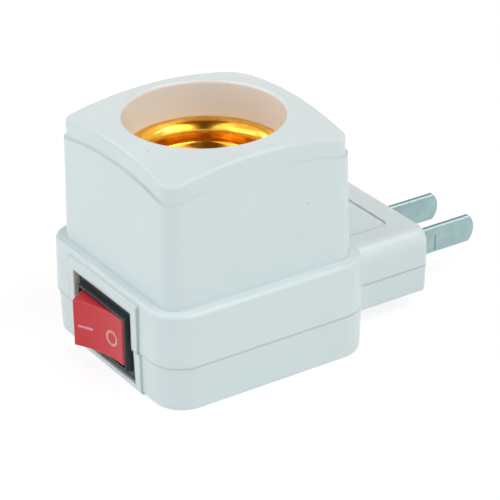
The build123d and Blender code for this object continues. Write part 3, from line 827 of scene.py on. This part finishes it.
@dataclass
class ScrewShell:
    """Thin rolled sleeve with a rounded screw thread, a flared lip and a bottom flange."""

    floor: float = 23.0
    lip: float = 41.6
    lip_radius: float = 16.28
    neck_radius: float = 13.75
    neck_from: float = 36.2
    neck_to: float = 37.9
    mid_radius: float = 12.9
    hole_radius: float = 8.6
    sheet: float = 0.4
    bend: float = 0.6
    bend_middle: Span = (0.15, 0.12)
    thread_start: float = 24.6
    thread_end: float = 38.4
    run_out: float = 1.6
    pitch: float = 3.63
    swing: float = 0.55
    turn: float = -1.1
    steps: int = 128
    rows: int = 96
    lip_rows: int = 31
    smooth_under: float = 50.0

    def ripple(self, height: float, angle: float) -> float:
        """How far the thread stands out at a place on the sleeve.

        Args:
            height: height in millimetres.
            angle: angle round the axis in radians.

        Returns:
            Offset of the radius in millimetres.
        """
        rise = clamp((height - self.thread_start) / (self.pitch / 2))
        fall = clamp((self.thread_end - height) / self.run_out)
        fade = math.sin(rise * math.pi / 2) * math.sin(fall * math.pi / 2)
        phase = 2 * math.pi * (height - self.thread_start) / self.pitch - angle + self.turn
        return self.swing * fade * math.sin(phase)

    def sleeve(self, height: float) -> float:
        """Radius of the sleeve without its thread, which widens to a neck below the lip.

        Args:
            height: height in millimetres.

        Returns:
            The radius in millimetres.
        """
        share = clamp((height - self.neck_from) / (self.neck_to - self.neck_from))
        smooth = share * share * (3.0 - 2.0 * share)
        return self.mid_radius + (self.neck_radius - self.mid_radius) * smooth

    def rolled_lip(self) -> list[Span]:
        """Quarter round that turns the neck outwards.

        Returns:
            Radius and height of its points in millimetres.
        """
        roll = self.lip_radius - self.neck_radius
        points = []
        for row in range(self.lip_rows + 1):
            angle = math.pi / 2 * row / self.lip_rows
            radius = self.lip_radius - roll * math.cos(angle)
            points.append((radius, self.lip - roll + roll * math.sin(angle)))
        return points

    def build(self) -> Piece:
        """Turn the sleeve, wind its thread and give the sheet its thickness.

        Returns:
            The sleeve.
        """
        base = self.floor + self.sheet
        across, up = self.bend_middle
        profile = [
            (self.hole_radius, base),
            (self.mid_radius - self.bend, base),
            (self.mid_radius - across, base + up),
        ]
        low = base + self.bend
        top = self.lip - (self.lip_radius - self.neck_radius)
        step = (top - low) / self.rows
        heights = [low + step * row for row in range(self.rows)]
        profile += [(self.sleeve(height), height) for height in heights]
        profile += self.rolled_lip()
        mesh = turned(profile, self.steps)
        wind(mesh, self.ripple)
        face_in(mesh)
        bmesh.ops.solidify(mesh, geom=mesh.faces[:], thickness=-self.sheet * MM)
        bmesh.ops.recalc_face_normals(mesh, faces=mesh.faces[:])
        return new_piece("rolled_screw_shell", mesh, self.smooth_under)

    def dress(self) -> None:
        """Build the sleeve and give it its brass."""
        brass = RolledBrass("gold_sheet", (0.89, 0.48, 0.065), (0.78, 0.36, 0.03)).make()
        finish_piece(self.build(), brass, Body.HOLDER, ["screw_shell"])


@dataclass
class PanHeadScrew:
    """A short screw with a crowned head, a cross recess and a rolled thread.

    The crown's points are shares of the head's radius and drops below its top. The point's
    are shares of the core's radius and distances from the tip.
    """

    head_radius: float = 2.5
    head_height: float = 1.7
    crown: tuple[Span, ...] = ((0.0, 0.0), (0.45, 0.0), (0.7, 0.08), (0.9, 0.38), (1.0, 0.85))
    head_edge: float = 0.12
    shank_radius: float = 1.3
    core_radius: float = 1.02
    point: tuple[Span, ...] = ((0.8, 0.5), (0.35, 0.1), (0.0, 0.0))
    pitch: float = 0.9
    rows_in_pitch: int = 8
    point_rows: int = 5
    thread_from: float = 0.3
    thread_fade: float = 0.9
    thread_stop: float = 0.6
    thread_run_out: float = 1.2
    slot_width: float = 0.62
    slot_length: float = 2.7
    slot_depth: float = 0.9
    slot_zone: float = 0.4
    steps: int = 40

    def build(self, length: float) -> Mesh:
        """Make one screw that points up, with the underside of its head at the origin.

        Args:
            length: length under the head in millimetres.

        Returns:
            The screw's mesh.
        """
        profile = [(self.head_radius * part, drop - self.head_height) for part, drop in self.crown]
        profile += [
            (self.head_radius, -self.head_edge),
            (self.head_radius - self.head_edge, 0.0),
            (self.core_radius, 0.0),
        ]
        rows = int(length / self.pitch * self.rows_in_pitch)
        heights = [length * row / rows for row in range(1, rows + 1 - self.point_rows)]
        profile += [(self.core_radius, height) for height in heights]
        profile += [(self.core_radius * part, length - back) for part, back in self.point]
        mesh = turned(profile, self.steps)
        wind(mesh, lambda height, angle: self.ridge(height, angle, length))
        self.cut_cross(mesh)
        return mesh

    def ridge(self, height: float, angle: float, length: float) -> float:
        """How far the thread stands out at a place on the shank.

        Args:
            height: height in millimetres.
            angle: angle round the axis in radians.
            length: length under the head in millimetres.

        Returns:
            Offset of the radius in millimetres.
        """
        wave = math.cos(2 * math.pi * height / self.pitch - angle)
        crest = max(0.0, wave) ** 2
        rise = (height - self.thread_from) / self.thread_fade
        fall = (length - self.thread_stop - height) / self.thread_run_out
        return crest * (self.shank_radius - self.core_radius) * clamp(min(rise, fall))

    def cut_cross(self, mesh: Mesh) -> None:
        """Sink a cross into the head.

        Args:
            mesh: the screw's mesh.
        """
        top = (-self.head_height + self.slot_zone) * MM
        half, arm = self.slot_width / 2 * MM, self.slot_length / 2 * MM
        for normal in ((1, 0, 0), (0, 1, 0)):
            for offset in (-arm, -half, half, arm):
                crown = [face for face in mesh.faces if face.calc_center_median().z < top]
                geometry = crown + list({edge for face in crown for edge in face.edges})
                geometry += list({vert for face in crown for vert in face.verts})
                bmesh.ops.bisect_plane(
                    mesh,
                    geom=geometry,
                    dist=NEAR / 10,
                    plane_co=Vector(normal) * offset,
                    plane_no=normal,
                )
        cross = []
        for face in mesh.faces:
            centre = face.calc_center_median()
            if centre.z > top:
                continue
            x, y = abs(centre.x), abs(centre.y)
            if (x < half and y < arm) or (y < half and x < arm):
                cross.append(face)
        pull(mesh, cross, (0.0, 0.0, self.slot_depth * MM))
        bmesh.ops.delete(mesh, geom=cross, context="FACES")
        bmesh.ops.recalc_face_normals(mesh, faces=mesh.faces[:])


@dataclass(frozen=True)
class Seat:
    """Where the underside of a screw's head sits, and the screw's length under it."""

    x: float
    y: float
    z: float
    length: float


@dataclass
class Screws:
    """The screws that hold the cover, and those that hold the contact carrier."""

    cover: tuple[Seat, ...] = (
        Seat(-16.3, 16.3, 7.3, 9.4),
        Seat(16.3, -16.3, 7.3, 9.4),
        Seat(31.5, 0.0, 7.3, 8.4),
    )
    carrier: tuple[Seat, ...] = (Seat(16.3, 16.3, 19.0, 9.5), Seat(-16.3, -16.3, 19.0, 9.5))
    turns: tuple[float, ...] = (12.0, 47.0, 71.0)

    def group(self, name: str, seats: Sequence[Seat]) -> Piece:
        """Join like screws into one piece.

        Args:
            name: name of the piece.
            seats: where each screw sits.

        Returns:
            The piece.
        """
        joined = bmesh.new()
        for seat, turn in zip(seats, self.turns):
            one = PanHeadScrew().build(seat.length)
            move_all(one, Matrix.Rotation(math.radians(turn), 4, "Z"))
            move_all(one, Matrix.Translation((seat.x * MM, seat.y * MM, seat.z * MM)))
            data = bpy.data.meshes.new("one_screw")
            one.to_mesh(data)
            one.free()
            joined.from_mesh(data)
            bpy.data.meshes.remove(data)
        return new_piece(name, joined)

    def dress(self) -> None:
        """Build both groups and give them their zinc."""
        light, dark = (0.62, 0.63, 0.64), (0.42, 0.43, 0.45)
        zinc = DrawnMetal("zinc_plated", light, dark, along=Axis.Z, stretch=3.0).make()
        groups = (
            ("pan_screws_cover", self.cover, "cover_screws"),
            ("pan_screws_carrier", self.carrier, "carrier_screws"),
        )
        for name, seats, node in groups:
            finish_piece(self.group(name, seats), zinc, Body.HOLDER, [node])


@dataclass
class RockerMarks:
    """Dash and ring printed on the hollow face of the rocker, which follow its curve."""

    pivot_x: float = -21.65
    centre_z: float = 9.7
    tilt: float = 15.9
    face_forward: float = 5.5
    dish: float = 1.05
    half_length: float = 6.85
    proud: float = 0.035
    thick: float = 0.05
    dash_y: float = 3.94
    dash_length: float = 3.56
    dash_width: float = 0.52
    dash_z: float = -0.48
    dash_cells: tuple[int, int] = (4, 16)
    ring_y: float = -3.15
    ring_z: float = -0.42
    ring_outer: float = 1.74
    ring_inner: float = 1.2
    ring_steps: int = 64

    def curve(self, across: float) -> float:
        """Depth of the hollow face at a distance from its middle line.

        Args:
            across: distance along the rocker in millimetres.

        Returns:
            Local X of the face in millimetres.
        """
        radius = (self.half_length**2 + self.dish**2) / (2 * self.dish)
        return self.dish - self.face_forward - radius + math.sqrt(radius**2 - across**2)

    def lay(self, name: str, mesh: Mesh, y: float, z: float) -> Piece:
        """Thicken a flat mark, lay it on the hollow face and turn it with the rocker.

        Args:
            name: name of the piece.
            mesh: the mark, drawn round the origin in the X-Y plane with its top at -X.
            y: its middle along the rocker in millimetres.
            z: its middle above the rocker's in millimetres.

        Returns:
            The mark.
        """
        move_all(mesh, Matrix.Rotation(math.pi / 2, 4, "Y"))
        bmesh.ops.translate(mesh, vec=(0.0, y * MM, z * MM), verts=mesh.verts[:])
        pull(mesh, mesh.faces[:], (self.thick * MM, 0.0, 0.0))
        for vert in mesh.verts:
            vert.co.x += (self.curve(vert.co.y / MM) - self.proud) * MM
        move_all(mesh, Matrix.Rotation(math.radians(self.tilt), 4, "Z"))
        move_all(mesh, Matrix.Translation((self.pivot_x * MM, 0.0, self.centre_z * MM)))
        bmesh.ops.recalc_face_normals(mesh, faces=mesh.faces[:])
        return new_piece(name, mesh)

    def dash(self) -> Piece:
        """Build the dash.

        Returns:
            The dash.
        """
        mesh = bmesh.new()
        wide, long = self.dash_cells
        bmesh.ops.create_grid(mesh, x_segments=wide, y_segments=long, size=0.5)
        size = (self.dash_width * MM, self.dash_length * MM, 1.0)
        bmesh.ops.scale(mesh, vec=size, verts=mesh.verts[:])
        return self.lay("rocker_dash", mesh, self.dash_y, self.dash_z)

    def ring(self) -> Piece:
        """Build the ring.

        Returns:
            The ring.
        """
        mesh = bmesh.new()
        radius, wide = self.ring_outer * MM, (self.ring_outer - self.ring_inner) * MM
        bmesh.ops.create_circle(mesh, cap_ends=True, segments=self.ring_steps, radius=radius)
        inner = mesh.faces[:]
        bmesh.ops.inset_region(
            mesh, faces=inner, thickness=wide, use_even_offset=True, use_boundary=True
        )
        bmesh.ops.delete(mesh, geom=inner, context="FACES_ONLY")
        return self.lay("rocker_ring", mesh, self.ring_y, self.ring_z)

    def dress(self) -> None:
        """Build both marks and give them their print."""
        ink = PrintedInk("mark_print", (0.78, 0.45, 0.46), (0.66, 0.26, 0.28)).make()
        for mark in (self.dash(), self.ring()):
            finish_piece(mark, ink, Body.ROCKER)


@dataclass
class RockerSwitch:
    """Black housing, red rocker and the metal inside, which stay as the frame has them."""

    red: Color = (0.645, 0.031, 0.043)
    black: Color = (0.011, 0.022, 0.028)

    def dress(self, nodes: Nodes) -> None:
        """Give the switch's nodes their finishes.

        Args:
            nodes: the frame's nodes by name.
        """
        housing = MouldedPlastic(
            "black_housing",
            self.black,
            roughness=(0.38, 0.55),
            clouds=0.12,
            cloud_size=4.0,
            skin=0.012,
            skin_size=0.35,
            waves=0.01,
        )
        rocker = MouldedPlastic(
            "red_rocker",
            self.red,
            roughness=(0.32, 0.45),
            clouds=0.05,
            cloud_size=5.0,
            skin_size=0.4,
            waves=0.015,
        )
        silver = DrawnMetal("silver_face", (0.8, 0.8, 0.78), (0.6, 0.6, 0.58), stretch=2.0)
        brass = DrawnMetal("punched_brass", (0.72, 0.52, 0.22), (0.5, 0.34, 0.13))
        wire = DrawnMetal("spring_wire", (0.56, 0.57, 0.6), (0.38, 0.39, 0.42), stretch=4.0)
        copper = DrawnMetal("copper_sheet", (0.74, 0.42, 0.26), (0.5, 0.25, 0.14), along=Axis.Y)
        dress(
            nodes,
            {
                "switch_body": housing,
                "rocker": rocker,
                "plunger": MouldedPlastic("plunger_nylon", (0.62, 0.61, 0.55), scatter=0.1),
                "plunger_spring": wire,
                "moving_contact": copper,
                "moving_tip": silver,
                "fixed_tip": silver,
                "common_terminal": brass,
                "switched_terminal": brass,
            },
        )


@dataclass
class PlugBlades:
    """Two nickel-plated blades, which stay as the frame has them."""

    nickel: Color = (0.39, 0.53, 0.54)
    shadow: Color = (0.32, 0.45, 0.46)

    def dress(self, nodes: Nodes) -> None:
        """Give both blades their plating.

        Args:
            nodes: the frame's nodes by name.
        """
        # The blades' tops get painted shade; the shadow colour is also their stain and score tone.
        plate = DrawnMetal(
            "nickel_blade", self.nickel, self.shadow, roughness=(0.32, 0.46), painted_top_shade=0.65
        )
        dress(nodes, {"plug_blade_left": plate, "plug_blade_right": plate})


@dataclass
class LampContacts:
    """Carrier, leaf, rivets, tags and wires, which stay as the frame has them."""

    cream: Color = (0.66, 0.63, 0.54)

    def dress(self, nodes: Nodes) -> None:
        """Give the inner pieces their finishes.

        Args:
            nodes: the frame's nodes by name.
        """
        carrier = MouldedPlastic(
            "carrier_moulding", self.cream, roughness=(0.5, 0.65), clouds=0.05, skin=0.02
        )
        rivet = DrawnMetal("rivet_brass", (0.68, 0.55, 0.3), (0.48, 0.37, 0.18), stretch=2.0)
        dress(
            nodes,
            {
                "contact_carrier": carrier,
                "centre_contact": DrawnMetal("leaf_bronze", (0.76, 0.47, 0.2), (0.52, 0.3, 0.11)),
                "centre_rivet": rivet,
                "shell_rivets": rivet,
                "solder_tags": DrawnMetal("tinned_tag", (0.7, 0.68, 0.62), (0.5, 0.48, 0.42)),
                "live_wire": SoftCover("red_cover", (0.42, 0.03, 0.025)),
                "switched_wire": SoftCover("white_cover", (0.7, 0.7, 0.66)),
                "neutral_wire": SoftCover("black_cover", (0.016, 0.016, 0.018)),
            },
        )


@dataclass
class SoftBox:
    """A square soft lamp that faces the object, with its angles in degrees."""

    name: str
    azimuth: float
    elevation: float
    distance: float
    size: float
    power: float
    color: Color

    def build(self, centre: Vector) -> None:
        """Hang the lamp.

        Args:
            centre: the point that it faces, in metres.
        """
        data = bpy.data.lights.new(self.name, "AREA")
        data.size = self.size
        data.energy = self.power
        data.color = self.color
        lamp = bpy.data.objects.new(self.name, data)
        turn, rise = math.radians(self.azimuth), math.radians(self.elevation)
        level = math.cos(rise)
        out = Vector((math.cos(turn) * level, math.sin(turn) * level, math.sin(rise)))
        lamp.location = centre + out * self.distance
        lamp.rotation_mode = "QUATERNION"
        lamp.rotation_quaternion = (-out).to_track_quat("-Z", "Y")
        bpy.context.scene.collection.objects.link(lamp)


@dataclass
class DarkCard:
    """Dark strip overhead, in line with the camera, which bright metal mirrors."""

    azimuth: float = 58.2
    height: float = 0.9
    forward: float = -0.5
    size: Span = (2.4, 0.5)
    tone: Color = (0.17, 0.085, 0.03)
    shades: Span = (0.9, 1.1)
    cloud_size: float = 20.0

    def build(self) -> None:
        """Hang the card level above the object."""
        mesh = bmesh.new()
        bmesh.ops.create_grid(mesh, x_segments=2, y_segments=2, size=0.5)
        bmesh.ops.scale(mesh, vec=(*self.size, 1.0), verts=mesh.verts[:])
        move_all(mesh, Matrix.Translation((self.forward, 0.0, self.height)))
        move_all(mesh, Matrix.Rotation(math.radians(self.azimuth), 4, "Z"))
        card = new_piece("dark_card", mesh)
        shader = Shader("dark_card")
        clouds = shader.noise(self.cloud_size, detail=2.0)
        low, high = (shade(self.tone, factor) for factor in self.shades)
        shader.feed("Base Color", shader.ramp(clouds, low, high))
        shader.set(Roughness=1.0, Specular_IOR_Level=0.0)
        card.data.materials.append(shader.material)
        card.visible_camera = False
        card.visible_diffuse = False
        card.visible_shadow = False


@dataclass
class Studio:
    """Pale floor, white surround, dark card, soft boxes and the camera.

    The camera's place and the point that the lamps face are in millimetres.
    """

    camera_at: Point = (-224.5369, -362.5909, 239.2522)
    camera_right: Point = (0.83566208, -0.54909869, -0.0126302)
    camera_up: Point = (0.26093168, 0.37666172, 0.88884228)
    camera_forward: Point = (0.48330482, 0.74606741, -0.45803916)
    camera_clip: Span = (0.01, 20.0)
    focal_pixels: float = 2370.0755
    sensor: float = 36.0
    image_width: float = 500.0
    lamp_target: Point = (0.0, 0.0, 25.0)
    floor_size: float = 6.0
    floor_tones: tuple[Color, Color] = ((0.89, 0.895, 0.9), (0.91, 0.915, 0.92))
    floor_clouds: float = 120.0
    floor_glow: float = 1.15
    glow_share: float = 0.72
    surround: float = 0.12
    surround_color: Color = (0.95, 0.99, 1.0)
    boxes: tuple[SoftBox, ...] = (
        SoftBox("soft_box_left", 165.0, 22.0, 1.2, 1.1, 5.6, (0.96, 0.99, 1.0)),
        SoftBox("soft_box_left_high", 192.0, 52.0, 1.2, 0.8, 1.8, (1.0, 0.9, 0.87)),
        SoftBox("soft_box_right", 285.0, 18.0, 1.2, 1.1, 2.7, (0.9, 0.99, 1.0)),
        SoftBox("soft_box_right_high", 288.0, 52.0, 1.2, 0.8, 4.8, (1.0, 0.94, 0.91)),
        SoftBox("soft_box_top", 60.0, 78.0, 1.3, 1.2, 2.2, (1.0, 0.76, 0.69)),
        SoftBox("edge_light_right", 326.0, 55.0, 1.2, 0.4, 2.3, (1.0, 0.93, 0.89)),
        SoftBox("edge_light_left", 116.0, 34.0, 1.2, 0.4, 1.7, (1.0, 0.94, 0.91)),
    )

    def build(self) -> None:
        """Set up the whole studio."""
        self.build_camera()
        self.build_floor()
        DarkCard().build()
        self.build_world()
        for box in self.boxes:
            box.build(Vector(self.lamp_target) * MM)
        bpy.context.scene.view_settings.view_transform = "Standard"
        LOG.info("studio has %d soft boxes", len(self.boxes))

    def build_camera(self) -> None:
        """Stand the camera where the photograph was taken from."""
        data = bpy.data.cameras.new("camera")
        data.sensor_width = self.sensor
        data.lens = self.focal_pixels * self.sensor / self.image_width
        data.clip_start, data.clip_end = self.camera_clip
        camera = bpy.data.objects.new("camera", data)
        back = [-value for value in self.camera_forward]
        matrix = Matrix((self.camera_right, self.camera_up, back)).transposed().to_4x4()
        matrix.translation = Vector(self.camera_at) * MM
        camera.matrix_world = matrix
        bpy.context.scene.collection.objects.link(camera)
        bpy.context.scene.camera = camera

    def build_floor(self) -> None:
        """Lay the pale floor, which fades to white and keeps a soft shadow."""
        mesh = bmesh.new()
        bmesh.ops.create_grid(mesh, x_segments=4, y_segments=4, size=self.floor_size / 2)
        floor = new_piece("floor", mesh)
        shader = Shader("pale_floor")
        clouds = shader.noise(self.floor_clouds, detail=2.0)
        shader.feed("Base Color", shader.ramp(clouds, *self.floor_tones))
        shader.set(Roughness=0.7, Specular_IOR_Level=0.2)
        white = shader.glow("ShaderNodeEmission", WHITE, self.floor_glow)
        share = shader.math("MULTIPLY", shader.seen(), self.glow_share)
        shader.join(shader.blend(share, shader.surface.outputs["BSDF"], white), shader.output)
        floor.data.materials.append(shader.material)

    def build_world(self) -> None:
        """Surround the scene with soft light that the camera sees as white."""
        world = bpy.data.worlds.new("surround")
        wiring = Wiring(world)
        soft = wiring.glow("ShaderNodeBackground", self.surround_color, self.surround)
        white = wiring.glow("ShaderNodeBackground", WHITE, 1.0)
        output = wiring.add("ShaderNodeOutputWorld").inputs["Surface"]
        wiring.join(wiring.blend(wiring.seen(), soft, white), output)
        bpy.context.scene.world = world


def main() -> None:
    """Build the studio and every sub-assembly."""
    logging.basicConfig(level=logging.INFO, format="%(name)s: %(message)s")
    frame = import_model()
    nodes = frame["nodes"]
    Studio().build()
    builders: Sequence[tuple[str, Callable[[], None]]] = (
        ("case", lambda: MouldedCase().dress(nodes)),
        ("screw shell", lambda: ScrewShell().dress()),
        ("lamp contacts", lambda: LampContacts().dress(nodes)),
        ("screws", lambda: Screws().dress()),
        ("blades", lambda: PlugBlades().dress(nodes)),
        ("switch", lambda: RockerSwitch().dress(nodes)),
        ("rocker marks", lambda: RockerMarks().dress()),
    )
    for name, build in builders:
        build()
        LOG.info("%s built", name)


if __name__ == "__main__":
    main()
